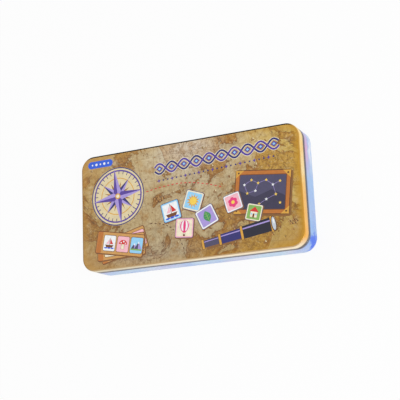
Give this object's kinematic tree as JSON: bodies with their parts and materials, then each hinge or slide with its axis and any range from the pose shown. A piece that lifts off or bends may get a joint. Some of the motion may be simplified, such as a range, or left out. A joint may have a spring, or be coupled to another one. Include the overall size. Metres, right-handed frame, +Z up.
{
  "type": "memory card game in a hinged tin",
  "caption": "Shallow rectangular hinged tin with rounded corners, rolled hinges and a stepped base, holding a formed tray with stacks of square picture cards and long boards.",
  "frame": {"origin": "centre of the underside of the closed tin", "axes": "+Z up through the lid, +X along the tin's length, +Y to the back where the hinges are"},
  "size_m": [0.205, 0.105, 0.03],
  "materials": {
    "base_tinplate": "satin print",
    "lid_tinplate": "satin print",
    "hinge_wire": "bright wire",
    "tray_plastic": "formed sheet",
    "leaflet_paper": "matte",
    "board_card": "laminated",
    "picture_card": "laminated"
  },
  "bodies": {
    "case": {"tin_base": "base_tinplate", "hinge_pin_left": "hinge_wire", "hinge_pin_right": "hinge_wire", "card_tray": "tray_plastic", "rules_leaflet": "leaflet_paper", "country_board_01": "board_card", "country_board_02": "board_card", "country_board_03": "board_card", "country_board_04": "board_card", "country_board_05": "board_card", "country_board_06": "board_card", "country_board_07": "board_card", "country_board_08": "board_card", "country_board_09": "board_card", "country_board_10": "board_card", "picture_card_01": "picture_card", "picture_card_02": "picture_card", "picture_card_03": "picture_card", "picture_card_04": "picture_card", "picture_card_05": "picture_card", "picture_card_06": "picture_card", "picture_card_07": "picture_card", "picture_card_08": "picture_card", "picture_card_09": "picture_card", "picture_card_10": "picture_card", "picture_card_11": "picture_card", "picture_card_12": "picture_card", "picture_card_13": "picture_card", "picture_card_14": "picture_card", "picture_card_15": "picture_card", "picture_card_16": "picture_card", "picture_card_17": "picture_card", "picture_card_18": "picture_card", "picture_card_19": "picture_card", "picture_card_20": "picture_card", "picture_card_21": "picture_card", "picture_card_22": "picture_card", "picture_card_23": "picture_card", "picture_card_24": "picture_card", "picture_card_25": "picture_card", "picture_card_26": "picture_card", "picture_card_27": "picture_card", "picture_card_28": "picture_card", "picture_card_29": "picture_card", "picture_card_30": "picture_card", "picture_card_31": "picture_card", "picture_card_32": "picture_card", "picture_card_33": "picture_card", "picture_card_34": "picture_card", "picture_card_35": "picture_card", "picture_card_36": "picture_card", "picture_card_37": "picture_card", "picture_card_38": "picture_card", "picture_card_39": "picture_card", "picture_card_40": "picture_card"},
    "lid": {"tin_lid": "lid_tinplate"}
  },
  "joints": [
    {"name": "lid_hinge", "type": "hinge", "parent": "case", "child": "lid", "pos_m": [0, 0.0526, 0.01995], "axis": [-1, 0, 0], "range_deg": [0, 180]}
  ]
}
